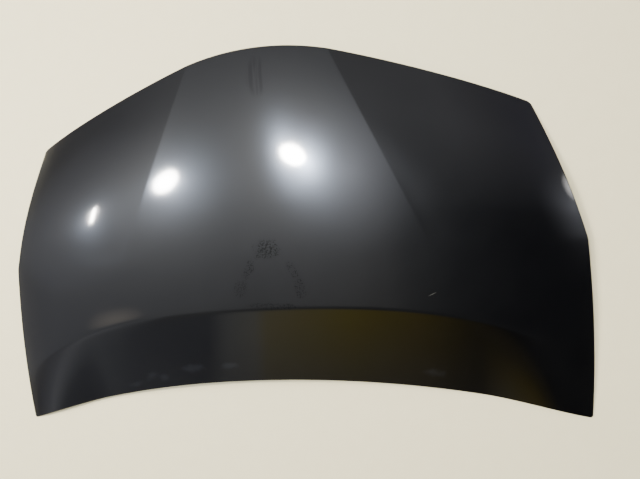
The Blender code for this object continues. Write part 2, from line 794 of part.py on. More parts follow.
def make_striker_loop(y, top):
    """U of round wire in the plane of the centre line, its ends against the striker plate."""
    half = STRIKER_LOOP_PITCH / 2
    bend = STRIKER_BEND_RADIUS
    bottom = top - STRIKER_LOOP_REACH + STRIKER_WIRE_RADIUS
    path = [(-half, top), (-half, lerp(top, bottom + bend, 0.5))]
    for step in range(STRIKER_BEND_STEPS + 1):
        angle = math.pi + math.pi / 2 * step / STRIKER_BEND_STEPS
        path.append((-half + bend + bend * math.cos(angle), bottom + bend + bend * math.sin(angle)))
    path += [(-across, level) for across, level in reversed(path)]
    rings = []
    for k, (across, level) in enumerate(path):
        before = path[max(k - 1, 0)]
        after = path[min(k + 1, len(path) - 1)]
        run_y = after[0] - before[0]
        run_z = after[1] - before[1]
        size = math.hypot(run_y, run_z)
        ring = []
        for step in range(STRIKER_WIRE_SIDES):
            angle = 2 * math.pi * step / STRIKER_WIRE_SIDES
            sideways = STRIKER_WIRE_RADIUS * math.cos(angle)
            across_path = STRIKER_WIRE_RADIUS * math.sin(angle)
            along = y + across + across_path * run_z / size
            ring.append((sideways, along, level - across_path * run_y / size))
        rings.append(ring)
    vertices, faces = stacked_rings(rings)
    add_object("striker_loop", vertices, faces, ZINC, 50)


def make_dent_plate():
    """Thin plate that backs the skin behind the nose, its rear strip on the lands."""
    drop = LAND_GAP - SEAM_GAP - DENT_PLATE_SHEET
    across = CELLS_ACROSS_DENT_PLATE
    along = CELLS_ALONG_DENT_PLATE
    vertices = []
    for r in range(along + 1):
        for c in range(across + 1):
            x = lerp(-DENT_PLATE_HALF_WIDTH, DENT_PLATE_HALF_WIDTH, c / across)
            inset = lerp(DENT_PLATE_REAR_INSET, DENT_PLATE_FRONT_INSET, r / along)
            y = nose_edge(x) - inset
            vertices.append((x, y, height(x, y) - drop))
    faces = []
    for r in range(along):
        for c in range(across):
            low = r * (across + 1) + c
            high = low + across + 1
            faces.append((low, low + 1, high + 1, high))
    plate = add_object("dent_plate", vertices, faces, INNER_COAT, 30)
    thicken(plate, DENT_PLATE_SHEET)


def make_prop_plate(grid):
    """Small doubler in the left rim channel, where the stay rod is hooked in."""
    r = HINGE_PAD_ROWS[-1] + CELLS_FROM_HINGE_TO_PROP_PLATE
    low_x, high_x = PROP_PLATE_MARGIN_ACROSS, 1 - PROP_PLATE_MARGIN_ACROSS
    low_y, high_y = PROP_PLATE_MARGIN_ALONG, 1 - PROP_PLATE_MARGIN_ALONG
    rings = []
    for lift in (SEAM_GAP, SEAM_GAP + PROP_PLATE_THICKNESS):
        ring = []
        for share_x, share_y in ((low_x, low_y), (high_x, low_y), (high_x, high_y), (low_x, high_y)):
            x, y, z = grid.point(r, CELLS_FROM_SIDE_TO_PROP_PLATE, share_x, share_y)
            ring.append((x, y, z + lift))
        rings.append(ring)
    vertices, faces = stacked_rings(rings)
    add_object("prop_reinforcement", vertices, faces, INNER_COAT)


def make_mastic_pads(grid):
    """Soft pads that fill the space between the lands without holes and the skin."""
    number = 0
    for r in range(grid.rows - 1):
        for c in range(grid.columns - 1):
            if not grid.has_pad(r, c):
                continue
            number += 1
            width, length = grid.cell_size(r, c)
            low = []
            high = []
            for k in range(MASTIC_SIDES):
                angle = 2 * math.pi * k / MASTIC_SIDES
                share_x = 0.5 + MASTIC_RADIUS / width * math.cos(angle)
                share_y = 0.5 + MASTIC_RADIUS / length * math.sin(angle)
                px, py, pz = grid.point(r, c, share_x, share_y)
                low.append((px, py, pz + SEAM_GAP))
                high.append((px, py, pz + LAND_GAP - SKIN_SHEET - SEAM_GAP))
            vertices, faces = stacked_rings([low, high])
            add_object(f"mastic_pad_{number:02d}", vertices, faces, MASTIC)


def clear_scene():
    for obj in list(bpy.data.objects):
        bpy.data.objects.remove(obj, do_unlink=True)


def build():
    clear_scene()
    grid = InnerGrid()
    cutters = []
    make_outer_skin()
    for side, label in ((-1, "left"), (1, "right")):
        make_hinge_side(side, label, cutters)
    make_latch(cutters)
    make_inner_panel(grid, cutters)
    make_dent_plate()
    make_prop_plate(grid)
    make_mastic_pads(grid)


build()
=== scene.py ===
# A spare car bonnet in its black dip primer, lying outer side up on its four corners.
# A steel outer skin is hemmed round a pressed inner panel. Metres, nose at +Y, floor at 0.

import math

import bmesh
import bpy
import numpy as np
from mathutils import Matrix, Vector


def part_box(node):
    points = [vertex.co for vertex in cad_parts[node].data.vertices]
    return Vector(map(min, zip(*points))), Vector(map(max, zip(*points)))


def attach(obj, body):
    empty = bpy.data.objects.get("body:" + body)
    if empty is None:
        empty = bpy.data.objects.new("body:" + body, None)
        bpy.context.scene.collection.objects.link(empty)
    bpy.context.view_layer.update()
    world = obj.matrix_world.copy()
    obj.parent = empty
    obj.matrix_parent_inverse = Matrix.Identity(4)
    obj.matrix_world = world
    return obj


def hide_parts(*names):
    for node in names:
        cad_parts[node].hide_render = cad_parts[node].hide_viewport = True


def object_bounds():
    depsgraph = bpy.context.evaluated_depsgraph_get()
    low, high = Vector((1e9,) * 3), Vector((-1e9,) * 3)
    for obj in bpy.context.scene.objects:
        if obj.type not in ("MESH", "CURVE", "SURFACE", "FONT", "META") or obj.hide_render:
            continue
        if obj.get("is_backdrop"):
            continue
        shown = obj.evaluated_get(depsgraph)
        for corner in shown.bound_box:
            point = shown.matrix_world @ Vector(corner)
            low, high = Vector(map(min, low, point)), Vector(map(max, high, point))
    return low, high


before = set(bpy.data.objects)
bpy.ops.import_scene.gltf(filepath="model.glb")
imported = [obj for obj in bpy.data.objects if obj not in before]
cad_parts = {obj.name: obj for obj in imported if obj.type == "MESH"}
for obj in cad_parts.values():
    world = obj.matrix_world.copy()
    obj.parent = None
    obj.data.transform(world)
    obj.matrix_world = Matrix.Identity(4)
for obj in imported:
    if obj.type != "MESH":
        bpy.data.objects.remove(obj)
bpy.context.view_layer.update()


# Camera: a phone held about a metre over the bonnet, a little right of its middle, and
# turned so that the nose is at the top of the picture.

photo_width = 640
focal_in_pixels = 482.18
camera_place = (0.2962, 0.0319, 1.1233)
camera_heading, camera_lean, camera_roll = 101.715, 9.7, -105.339


def placed(name, data):
    """A new object of the scene that shows this mesh, light or camera."""
    piece = bpy.data.objects.new(name, data)
    bpy.context.collection.objects.link(piece)
    return piece


camera_data = bpy.data.cameras.new("phone camera")
camera_data.sensor_width = 36.0
camera_data.lens = focal_in_pixels / photo_width * camera_data.sensor_width
camera = placed("phone camera", camera_data)
camera_turn = (Matrix.Rotation(math.radians(camera_heading), 4, "Z")
               @ Matrix.Rotation(math.radians(camera_lean), 4, "X")
               @ Matrix.Rotation(math.radians(camera_roll), 4, "Z"))
camera.matrix_world = Matrix.Translation(camera_place) @ camera_turn
bpy.context.scene.camera = camera


# Outer skin: one 0.7 mm steel pressing, crowned, with two flank creases that run back from
# the nose and fade, and a crease across the rear. Its border is folded under by half a turn
# round the inner panel's flange, and the press leaves small rounds at the corners.

length = 0.867
half_width_rear = 0.688
half_width_kink = 0.690
half_width_front = 0.591
kink_from_rear = 0.397
side_bow_front, side_bow_rear = 0.005, 0.006
nose_radius = 0.633
nose_radius_half_width = 0.173
nose_flank_radius = 4.05
rear_hollow = 0.107
middle_from_rear = 0.4344253
floor_drop = 0.0010477
skin_sheet = 0.0007
fold_radius = 0.00135
fold_steps = 8
hem_depth = 0.0105
corner_round = 0.006
box_margin = 0.00001
flank_crease_at_nose, flank_crease_splay = 0.163, 0.444
flank_crease_start, flank_crease_growth = 0.450, 0.395
flank_crease_softness = 0.0012
flank_fold, flank_fold_width = 0.30, 0.030
flank_fold_start, flank_fold_rise = 0.390, 0.040
flank_fold_end, flank_fold_fall = 0.510, 0.100
rear_crease_half_width, rear_crease_middle = 0.660, 0.2816
rear_crease_bow, rear_crease_end_bow = 0.0713, 0.0705
rear_crease_fade = 0.240
rear_crease_softness = 0.0045


def ease(t):
    t = np.clip(t, 0.0, 1.0)
    return t * t * (3 - 2 * t)


def nose_edge(x):
    x = np.abs(x)
    centre = length - nose_radius
    sine = nose_radius_half_width / nose_radius
    cosine = math.sqrt(1 - sine ** 2)
    flank_x = nose_radius_half_width - nose_flank_radius * sine
    flank_y = centre + (nose_radius - nose_flank_radius) * cosine
    middle = centre + np.sqrt(nose_radius ** 2 - np.minimum(x, nose_radius_half_width) ** 2)
    flank = flank_y + np.sqrt(nose_flank_radius ** 2 - (x - flank_x) ** 2)
    return np.where(x < nose_radius_half_width, middle, flank)


def rear_edge(x):
    radius = (half_width_rear ** 2 + rear_hollow ** 2) / (2 * rear_hollow)
    return rear_hollow - radius + np.sqrt(radius ** 2 - x ** 2)


def bowed_side(y, start, end, bow):
    run_x = end[0] - start[0]
    run_y = end[1] - start[1]
    chord = math.hypot(run_x, run_y)
    radius = (chord ** 2 / 4 + bow ** 2) / (2 * bow)
    centre_x = (start[0] + end[0]) / 2 - (radius - bow) * run_y / chord
    centre_y = (start[1] + end[1]) / 2 + (radius - bow) * run_x / chord
    return centre_x + np.sqrt(radius ** 2 - (y - centre_y) ** 2)


front_corner = (half_width_front, float(nose_edge(half_width_front)))
kink = (half_width_kink, kink_from_rear)


def side_edge(y):
    front = bowed_side(y, kink, front_corner, side_bow_front)
    rear = bowed_side(y, (half_width_rear, 0.0), kink, side_bow_rear)
    return np.where(y > kink_from_rear, front, rear)


def rear_crease(x):
    share = x / rear_crease_half_width
    return rear_crease_middle - rear_crease_bow * share ** 2 - rear_crease_end_bow * share ** 4


def rear_crease_depth(x):
    return ease((half_width_kink - x) / rear_crease_fade)


def flank_crease(y):
    nose_there = float(nose_edge(flank_crease_at_nose))
    return flank_crease_at_nose + flank_crease_splay * (nose_there - y)


def flank_crease_depth(y):
    return ease((y - flank_crease_start) / flank_crease_growth)


def softened(distance, softness):
    """max(distance, 0) with its corner turned into a round of about this size."""
    return (distance + np.sqrt(distance ** 2 + softness ** 2)) / 2


# The grid's lines are named by what they follow, so that they run along creases and edges.
# They crowd towards the creases, by these powers.
inside_lines, inside_power = 31, 1.6
outside_lines, outside_power = 53, 1.5
band_lines, band_power = 31, 1.5
field_lines, field_power = 85, 1.25
rim_places = np.array([0.0, 0.0008, 0.0018, 0.0030, 0.0044, corner_round])
rim_insets = fold_radius + box_margin + rim_places
edge_insets = np.append(rim_insets, [hem_depth, 0.016])
column_lines = [("inside", share)
                for share in 1 - (1 - np.linspace(0, 1, inside_lines)[:-1]) ** inside_power]
column_lines += [("outside", share)
                 for share in np.linspace(0, 1, outside_lines)[:-1] ** outside_power]
column_lines += [("edge", inset) for inset in edge_insets[::-1]]
row_lines = [("rear", inset) for inset in edge_insets]
row_lines += [("band", share)
              for share in 1 - (1 - np.linspace(0, 1, band_lines)[1:]) ** band_power]
row_lines += [("field", share) for share in np.linspace(0, 1, field_lines)[1:-1] ** field_power]
row_lines += [("nose", inset) for inset in edge_insets[::-1]]


def column_place(line, y):
    kind, value = line
    y = np.clip(y, 0.0, length)
    if kind == "inside":
        return value * flank_crease(y)
    if kind == "outside":
        crease = flank_crease(y)
        return crease + value * (side_edge(y) - edge_insets[-1] - crease)
    return side_edge(y) - value


def row_place(line, x):
    kind, value = line
    if kind == "rear":
        return rear_edge(x) + value
    if kind == "band":
        start = rear_edge(x) + edge_insets[-1]
        return start + value * (rear_crease(x) - start)
    if kind == "field":
        crease = rear_crease(x)
        return crease + value * (nose_edge(x) - edge_insets[-1] - crease)
    return nose_edge(x) - value


grid_x = np.full((len(row_lines), len(column_lines)), half_width_kink / 2)
grid_y = np.stack([row_place(line, grid_x[r]) for r, line in enumerate(row_lines)])
for _ in range(30):
    for c, line in enumerate(column_lines):
        grid_x[:, c] = column_place(line, grid_y[:, c])
    for r, line in enumerate(row_lines):
        grid_y[r] = row_place(line, grid_x[r])

round_lines = len(rim_insets)
inset_share = (rim_insets - rim_insets[0]) / corner_round
for rows in (range(round_lines), range(len(row_lines) - 1, len(row_lines) - 1 - round_lines, -1)):
    columns = range(len(column_lines) - 1, len(column_lines) - 1 - round_lines, -1)
    corner = np.array([grid_x[rows[0], columns[0]], grid_y[rows[0], columns[0]]])
    along_row = np.array([grid_x[rows[0], columns[-1]], grid_y[rows[0], columns[-1]]]) - corner
    along_column = np.array([grid_x[rows[-1], columns[0]], grid_y[rows[-1], columns[0]]]) - corner
    for r, row_share in zip(rows, inset_share):
        for c, column_share in zip(columns, inset_share):
            p = 1 - row_share
            q = 1 - column_share
            into_column = 1 - p * math.sqrt(1 - q * q / 2)
            into_row = 1 - q * math.sqrt(1 - p * p / 2)
            point = corner + along_row * into_row + along_column * into_column
            grid_x[r, c], grid_y[r, c] = point

plan = np.stack([np.hstack([-grid_x[:, :0:-1], grid_x]),
                 np.hstack([grid_y[:, :0:-1], grid_y])], axis=2)
row_count, column_count = plan.shape[:2]
border = [(0, c) for c in range(column_count)]
border += [(r, column_count - 1) for r in range(1, row_count)]
border += [(row_count - 1, c) for c in range(column_count - 2, -1, -1)]
border += [(r, 0) for r in range(row_count - 2, 0, -1)]
rim = np.array([plan[cell] for cell in border])
rim_run = np.roll(rim, -1, axis=0) - np.roll(rim, 1, axis=0)
rim_run /= np.linalg.norm(rim_run, axis=1)[:, None]
rim_normal = np.stack([rim_run[:, 1], -rim_run[:, 0]], axis=1)

# Each point has a place in plan, the plan point its height is taken at, and how far the
# fold has already turned it down from there.
places = [tuple(point) for point in plan.reshape(-1, 2)]
sampled = list(places)
drops = [0.0] * len(places)
skin_faces = []
for r in range(row_count - 1):
    for c in range(column_count - 1):
        low = r * column_count + c
        skin_faces.append((low, low + 1, low + column_count + 1, low + column_count))

border_count = len(border)
previous = [r * column_count + c for r, c in border]
for step in range(1, fold_steps + 1):
    angle = math.pi * step / fold_steps
    ring = list(range(len(places), len(places) + border_count))
    places += [tuple(point) for point in rim + rim_normal * fold_radius * math.sin(angle)]
    sampled += [tuple(point) for point in rim]
    drops += [fold_radius * (1 - math.cos(angle))] * border_count
    for k in range(border_count):
        nxt = (k + 1) % border_count
        skin_faces.append((previous[nxt], previous[k], ring[k], ring[nxt]))
    previous = ring

hem_line = len(edge_insets) - 2


def hem_cell(r, c):
    """The grid point over the hem's inner edge, for a point of the border."""
    return (min(max(r, hem_line), row_count - 1 - hem_line),
            min(max(c, hem_line), column_count - 1 - hem_line))


hem_points = {}
hem_loop = []
for r, c in border:
    inner = hem_cell(r, c)
    if inner not in hem_points:
        hem_points[inner] = len(places)
        places.append(tuple(plan[inner]))
        sampled.append(tuple(plan[inner]))
        drops.append(2 * fold_radius)
    hem_loop.append(hem_points[inner])
for k in range(border_count):
    nxt = (k + 1) % border_count
    if hem_loop[k] == hem_loop[nxt]:
        skin_faces.append((previous[nxt], previous[k], hem_loop[k]))
    else:
        skin_faces.append((previous[nxt], previous[k], hem_loop[k], hem_loop[nxt]))

skin_mesh = bpy.data.meshes.new("outer_skin_pressing")
skin_mesh.from_pydata([(x, y - middle_from_rear, 0.0) for x, y in places], [], skin_faces)
skin_mesh.shade_smooth()

sampled = np.array(sampled)
from_middle = np.abs(sampled[:, 0])
from_rear = sampled[:, 1]
flank_reach = softened(from_middle - flank_crease(from_rear), flank_crease_softness)
# Where the crease dies out, a narrow fold 0.3 mm deep still keeps it crisp.
fold_begun = ease((from_rear - flank_fold_start) / flank_fold_rise)
fold_over = ease((from_rear - flank_fold_end) / flank_fold_fall)
narrow_fold = flank_fold * fold_begun * (1 - fold_over) * np.exp(-flank_reach / flank_fold_width)
band_reach = softened(rear_crease(from_middle) - from_rear, rear_crease_softness)
skin_fields = {"from_middle": from_middle,
               "from_rear": from_rear,
               "side_share": np.minimum(from_middle / side_edge(from_rear), 1.0),
               "past_flank_crease": flank_reach * (flank_crease_depth(from_rear) + narrow_fold),
               "past_rear_crease": band_reach * rear_crease_depth(from_middle),
               "fold_drop": drops}
for name, values in skin_fields.items():
    attribute = skin_mesh.attributes.new(name, "FLOAT", "POINT")
    attribute.data.foreach_set("value", np.asarray(values, dtype=np.float32))


def linear(code):
    """Scene colour of an sRGB hex value."""
    parts = [int(code[k:k + 2], 16) / 255 for k in (1, 3, 5)]
    return tuple(p / 12.92 if p <= 0.04045 else ((p + 0.055) / 1.055) ** 2.4
                 for p in parts) + (1.0,)


def feed(tree, node, inputs):
    """Gives sockets, by name or number, a value, a node or an output each."""
    for key, value in dict(inputs).items():
        if isinstance(value, bpy.types.Node):
            tree.links.new(value.outputs[0], node.inputs[key])
        elif isinstance(value, bpy.types.NodeSocket):
            tree.links.new(value, node.inputs[key])
        else:
            node.inputs[key].default_value = value


def add(tree, kind, inputs=(), **settings):
    """Adds a node with these inputs and settings."""
    node = tree.nodes.new(kind)
    for name, value in settings.items():
        setattr(node, name, value)
    feed(tree, node, inputs)
    return node


def figure(tree, operation, *terms, **settings):
    """A sum, a product or the like, of numbers, nodes or outputs."""
    terms = dict(enumerate(terms))
    return add(tree, "ShaderNodeMath", terms, operation=operation, **settings).outputs[0]


def ranged(tree, value, low, high, at_low=0.0, at_high=1.0):
    """at_low up to low, at_high from high on, and even between them."""
    return add(tree, "ShaderNodeMapRange", {"Value": value, "From Min": low, "From Max": high,
               "To Min": at_low, "To Max": at_high}).outputs[0]


def noise(tree, where, scale, detail):
    return add(tree, "ShaderNodeTexNoise",
               {"Vector": where, "Scale": scale, "Detail": detail}).outputs[0]


def between(tree, share, first, second):
    """A colour between two, by the share of the second."""
    inputs = {0: share, 6: first, 7: second}
    return add(tree, "ShaderNodeMix", inputs, data_type="RGBA").outputs[2]


def two_tones(tree, share, first, second, start=0.0, end=1.0):
    """A colour that goes from one sRGB tone to another as the share rises from start to end."""
    ramp = add(tree, "ShaderNodeValToRGB", {"Fac": share})
    for element, code, place in zip(ramp.color_ramp.elements, (first, second), (start, end)):
        element.position = place
        element.color = linear(code)
    return ramp.outputs[0]


def near(tree, where, place, reach, turn):
    """1 at a place, falling evenly to 0 at its reach, with a turn in plan in degrees."""
    local = add(tree, "ShaderNodeMapping", {"Vector": where, "Location": place,
                "Rotation": (0, 0, math.radians(turn)), "Scale": reach}, vector_type="TEXTURE")
    return add(tree, "ShaderNodeTexGradient", {"Vector": local},
               gradient_type="SPHERICAL").outputs[1]


def new_finish(name):
    """A material, its tree, its shader, and the place on the piece for its textures."""
    finish = bpy.data.materials.new(name)
    finish.use_nodes = True
    tree = finish.node_tree
    where = add(tree, "ShaderNodeTexCoord").outputs["Object"]
    return finish, tree, tree.nodes["Principled BSDF"], where


# Cathodic dip primer, baked: a black, thin resin film with a satin gloss. The lamps show as
# a clear core with a wide bluish halo, since the film is glossy and the steel's fine texture
# under it isn't. Handling has left rubbed specks, faint streaks, smudges and a scratch.
skin_coat, tree, shader, where = new_finish("black dip primer, satin")
skin_level = 0.07
cloud = noise(tree, where, 9.0, 3.0)
film = two_tones(tree, cloud, "#020203", "#040405", 0.35, 0.75)


def near_any(places):
    """How near the nearest of these is: centre and half sizes in plan, turn in degrees."""
    nearest = 0.0
    for (x, y), (half_x, half_y), turn in places:
        fading = near(tree, where, (x, y, skin_level), (half_x, half_y, 0.2), turn)
        nearest = figure(tree, "MAXIMUM", nearest, fading)
    return nearest


# Dry wipe marks near the rear edge, a little lighter than the film.
smudged = near_any([((-0.372, -0.338), (0.042, 0.015), 20), ((-0.326, -0.314), (0.036, 0.018), 34),
                    ((-0.293, -0.320), (0.020, 0.022), -40), ((-0.213, -0.295), (0.052, 0.022), 4),
                    ((-0.115, -0.288), (0.040, 0.015), 8), ((0.353, -0.318), (0.045, 0.018), -14)])
patchy = noise(tree, where, 60.0, 4.0)
smudge = ranged(tree, figure(tree, "ADD", smudged, patchy), 0.85, 1.30, 0.0, 0.018)
film = between(tree, smudge, film, linear("#828892"))

# An arch of rubbed specks in the middle, from the packing. The film has lost its gloss in
# them, so they look darker. They are 2 to 3 mm across.
rubbed = near_any([((0.002, -0.020), (0.050, 0.042), 0), ((-0.045, -0.062), (0.018, 0.040), -30),
                   ((-0.066, -0.105), (0.026, 0.036), -8), ((0.056, -0.068), (0.016, 0.042), 28),
                   ((0.071, -0.108), (0.024, 0.042), 4), ((0.010, -0.147), (0.110, 0.014), -2)])
rub = ranged(tree, figure(tree, "ADD", rubbed, patchy), 0.86, 1.06)
grain = ranged(tree, noise(tree, where, 320.0, 1.0), 0.50, 0.60)
speckle = figure(tree, "MULTIPLY", rub, grain)

# Streaks of a wiping hand at the nose, some 8 mm apart.
wiped_area = near_any([((0.001, 0.366), (0.026, 0.050), 0)])
stripes_run = add(tree, "ShaderNodeMapping", {"Vector": where, "Scale": (130.0, 9.0, 1.0)})
stripe = ranged(tree, noise(tree, stripes_run, 1.0, 1.0), 0.44, 0.56)
streak = figure(tree, "MULTIPLY", stripe, ranged(tree, wiped_area, 0.0, 0.30))

# One scratch into the film on the right, 20 mm long.
scratch = near(tree, where, (0.356, -0.136, 0.072), (0.012, 0.0014, 0.1), 24)
film = between(tree, ranged(tree, scratch, 0.10, 0.50), film, linear("#34332f"))

# Gloss: a clear film on a hazy ground. The film is thinned by rubbing and wiping.
haze = ranged(tree, cloud, 0.0, 1.0, 0.36, 0.42)
dulled = figure(tree, "MULTIPLY_ADD", speckle, 0.2, haze, use_clamp=True)
lost = figure(tree, "MULTIPLY_ADD", streak, 0.40, speckle, use_clamp=True)
film_left = ranged(tree, lost, 0.0, 1.0, 1.0, 0.45)
ground_left = ranged(tree, lost, 0.0, 1.0, 0.18, 0.09)

# Orange peel of the baked film, 4 mm from crest to crest, and a far weaker long wave that
# is left by the press.
peel_bump = add(tree, "ShaderNodeBump", {"Height": noise(tree, where, 250.0, 1.0),
                "Strength": 0.25, "Distance": 0.00004})
wave_bump = add(tree, "ShaderNodeBump", {"Height": noise(tree, where, 14.0, 1.0),
                "Strength": 0.35, "Distance": 0.0002, "Normal": peel_bump})
feed(tree, shader, {"Base Color": film, "Roughness": dulled, "Specular IOR Level": ground_left,
                    "IOR": 1.5, "Coat Weight": film_left, "Coat Roughness": 0.06,
                    "Coat IOR": 1.5, "Normal": wave_bump, "Coat Normal": wave_bump})

# The pressing's heights, as the press tool's designer gives them: a spine, a crown across
# it, shoulders that fall away at the sides, and the two kinds of crease.
skin_sizes = {"Spine Height": 0.08994 - floor_drop, "Spine Top From Rear": 0.420,
              "Spine Bend": 0.102, "Crown Rear": 0.118, "Crown Growth": (0.1305 - 0.118) / length,
              "Shoulder Drop": 0.0133, "Shoulder Power": 10.0, "Flank Slope": 0.088,
              "Band Slope": 0.197, "Hem On Floor": 2 * fold_radius}


def new_form(name, sizes):
    """A geometry tree with these inputs, their identifiers, and its input sockets."""
    form = bpy.data.node_groups.new(name, "GeometryNodeTree")
    for way in ("INPUT", "OUTPUT"):
        form.interface.new_socket("Geometry", in_out=way, socket_type="NodeSocketGeometry")
    identifiers = {}
    for size in sizes:
        socket = form.interface.new_socket(size, in_out="INPUT", socket_type="NodeSocketFloat")
        identifiers[size] = socket.identifier
    return form, identifiers, form.nodes.new("NodeGroupInput").outputs


def end_form(form, geometry, finish):
    plain = add(form, "GeometryNodeRealizeInstances", {0: geometry})
    coated = add(form, "GeometryNodeSetMaterial", {"Geometry": plain, "Material": finish})
    add(form, "NodeGroupOutput", {0: coated})


form, skin_inputs, given = new_form("bonnet skin form", skin_sizes)
field = {}
for name in skin_fields:
    field[name] = add(form, "GeometryNodeInputNamedAttribute", {"Name": name},
                      data_type="FLOAT").outputs[0]
from_top = figure(form, "SUBTRACT", field["from_rear"], given["Spine Top From Rear"])
bend = figure(form, "MULTIPLY", from_top, from_top)
spine_fall = figure(form, "MULTIPLY", bend, given["Spine Bend"])
crown_rate = figure(form, "MULTIPLY_ADD", field["from_rear"], given["Crown Growth"],
                    given["Crown Rear"])
across = figure(form, "MULTIPLY", field["from_middle"], field["from_middle"])
crown_fall = figure(form, "MULTIPLY", across, crown_rate)
shoulder_rate = figure(form, "POWER", field["side_share"], given["Shoulder Power"])
falls = figure(form, "MULTIPLY_ADD", shoulder_rate, given["Shoulder Drop"], spine_fall)
falls = figure(form, "ADD", falls, crown_fall)
falls = figure(form, "MULTIPLY_ADD", field["past_flank_crease"], given["Flank Slope"], falls)
falls = figure(form, "MULTIPLY_ADD", field["past_rear_crease"], given["Band Slope"], falls)
standing = figure(form, "SUBTRACT", given["Spine Height"], falls)
resting = figure(form, "MAXIMUM", standing, given["Hem On Floor"])
level = figure(form, "SUBTRACT", resting, field["fold_drop"])
lift = add(form, "ShaderNodeCombineXYZ", {"Z": level})
formed = add(form, "GeometryNodeSetPosition", {"Geometry": given["Geometry"], "Offset": lift})
end_form(form, formed, skin_coat)


def made_plain(source):
    """A plain mesh of what the object's modifiers make of it."""
    bpy.context.view_layer.update()
    evaluated = source.evaluated_get(bpy.context.evaluated_depsgraph_get())
    return bpy.data.meshes.new_from_object(evaluated)


def grown(name, mesh, group, identifiers, sizes):
    """A plain mesh object from a mesh, a node group and the sizes of its inputs."""
    source = placed(name + " source", mesh)
    modifier = source.modifiers.new("form", "NODES")
    modifier.node_group = group
    for size, value in sizes.items():
        modifier[identifiers[size]] = value
    result = made_plain(source)
    result.name = name
    bpy.data.objects.remove(source)
    return placed(name, result)


outer_skin = grown("bonnet_outer_skin", skin_mesh, form, skin_inputs, skin_sizes)
sheet = outer_skin.modifiers.new("sheet thickness", "SOLIDIFY")
sheet.thickness = skin_sheet
sheet.offset = -1.0
sheet.use_even_offset = True
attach(outer_skin, "root")
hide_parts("outer_skin")


# Inner panel: one 0.7 mm steel pressing under the skin. Channels run round its rim and in
# ribs across it, and the lands between them come up close to the skin, with lightening holes
# in every second one. The press leaves a round along every bend.

bend_round = 0.0034
least_bend = 11
slimmest_face = 0.0011


def is_edge_of_sheet(face):
    return min(edge.calc_length() for edge in face.edges) < slimmest_face


panel_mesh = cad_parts["inner_panel"].data.copy()
panel_mesh.name = "bonnet_inner_panel"
work = bmesh.new()
work.from_mesh(panel_mesh)
bmesh.ops.remove_doubles(work, verts=work.verts, dist=0.00002)
bmesh.ops.join_triangles(work, faces=work.faces, angle_face_threshold=math.radians(6),
                         angle_shape_threshold=math.radians(70))
weights = work.edges.layers.float.new("bevel_weight_edge")
for edge in work.edges:
    faces = edge.link_faces
    if len(faces) == 2 and not any(is_edge_of_sheet(face) for face in faces):
        if faces[0].normal.angle(faces[1].normal, 0.0) > math.radians(least_bend):
            edge[weights] = 1.0
work.to_mesh(panel_mesh)
work.free()
inner_panel = placed("bonnet_inner_panel", panel_mesh)
bends = inner_panel.modifiers.new("press rounds", "BEVEL")
bends.limit_method = "WEIGHT"
bends.width = bend_round
bends.segments = 3
bends.use_clamp_overlap = False


def applied(piece, sharp_angle):
    """Makes the piece's modifiers plain, and smooths it up to this angle."""
    result = made_plain(piece)
    piece.modifiers.clear()
    piece.data = result
    result.shade_smooth()
    result.set_sharp_from_angle(angle=math.radians(sharp_angle))


def coat(piece, finish):
    piece.data.materials.clear()
    piece.data.materials.append(finish)


applied(inner_panel, 32)

# The same dip primer as outside, but untouched: it drains off the bends, so it is thinner
# and a little browner there, and it keeps faint run marks down the walls.
inner_coat, tree, shader, where = new_finish("black dip primer, inside")
thin_places = add(tree, "ShaderNodeTexNoise",
                  {"Vector": where, "Scale": 22.0, "Detail": 4.0, "Roughness": 0.6})
inner_film = two_tones(tree, thin_places, "#161718", "#23211f", 0.35, 0.72)
run_stretch = add(tree, "ShaderNodeMapping", {"Vector": where, "Scale": (260.0, 18.0, 260.0)})
inner_gloss = ranged(tree, noise(tree, run_stretch, 1.0, 2.0), 0.3, 0.7, 0.36, 0.50)
inner_bump = add(tree, "ShaderNodeBump", {"Height": noise(tree, where, 420.0, 2.0),
                 "Strength": 0.3, "Distance": 0.00006})
feed(tree, shader, {"Base Color": inner_film, "Roughness": inner_gloss, "Normal": inner_bump})
coat(inner_panel, inner_coat)
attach(inner_panel, "root")
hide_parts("inner_panel")

# The plates behind the panel are dipped with it, so they carry the same film.
for name in ("hinge_reinforcement_left", "hinge_reinforcement_right", "latch_reinforcement",
             "dent_plate", "prop_reinforcement"):
    coat(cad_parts[name], inner_coat)


# Hem sealer: a thin bead of PVC paste laid by nozzle along the folded edge, baked with the
# primer. Its thickness varies by up to a tenth of a millimetre.

bead_radius = 0.00083
bead_under_skin = 0.00169
bead_least_step = 0.0002
sealer, tree, shader, where = new_finish("hem sealer, PVC paste")
paste = noise(tree, where, 160.0, 3.0)
paste_bump = add(tree, "ShaderNodeBump",
                 {"Height": paste, "Strength": 0.5, "Distance": 0.0002})
feed(tree, shader, {"Base Color": two_tones(tree, paste, "#1d1d1d", "#2c2a28"),
                    "Roughness": 0.55, "Normal": paste_bump})

bead_sizes = {"Bead Radius": bead_radius, "Unevenness": 0.25, "Wave Scale": 90.0}
bead_tree, bead_inputs, given = new_form("sealer bead", bead_sizes)
path = add(bead_tree, "GeometryNodeMeshToCurve", {0: given["Geometry"]})
wave = add(bead_tree, "ShaderNodeTexNoise",
           {"Scale": given["Wave Scale"], "Detail": 1.0, "W": 4.0}, noise_dimensions="4D")
centred = figure(bead_tree, "SUBTRACT", wave, 0.5)
grown_by = figure(bead_tree, "MULTIPLY_ADD", centred, given["Unevenness"], 1.0)
profile = add(bead_tree, "GeometryNodeCurvePrimitiveCircle",
              {"Resolution": 16, "Radius": given["Bead Radius"]})
swept = add(bead_tree, "GeometryNodeCurveToMesh",
            {"Curve": path, "Profile Curve": profile, "Scale": grown_by})
end_form(bead_tree, swept, sealer)


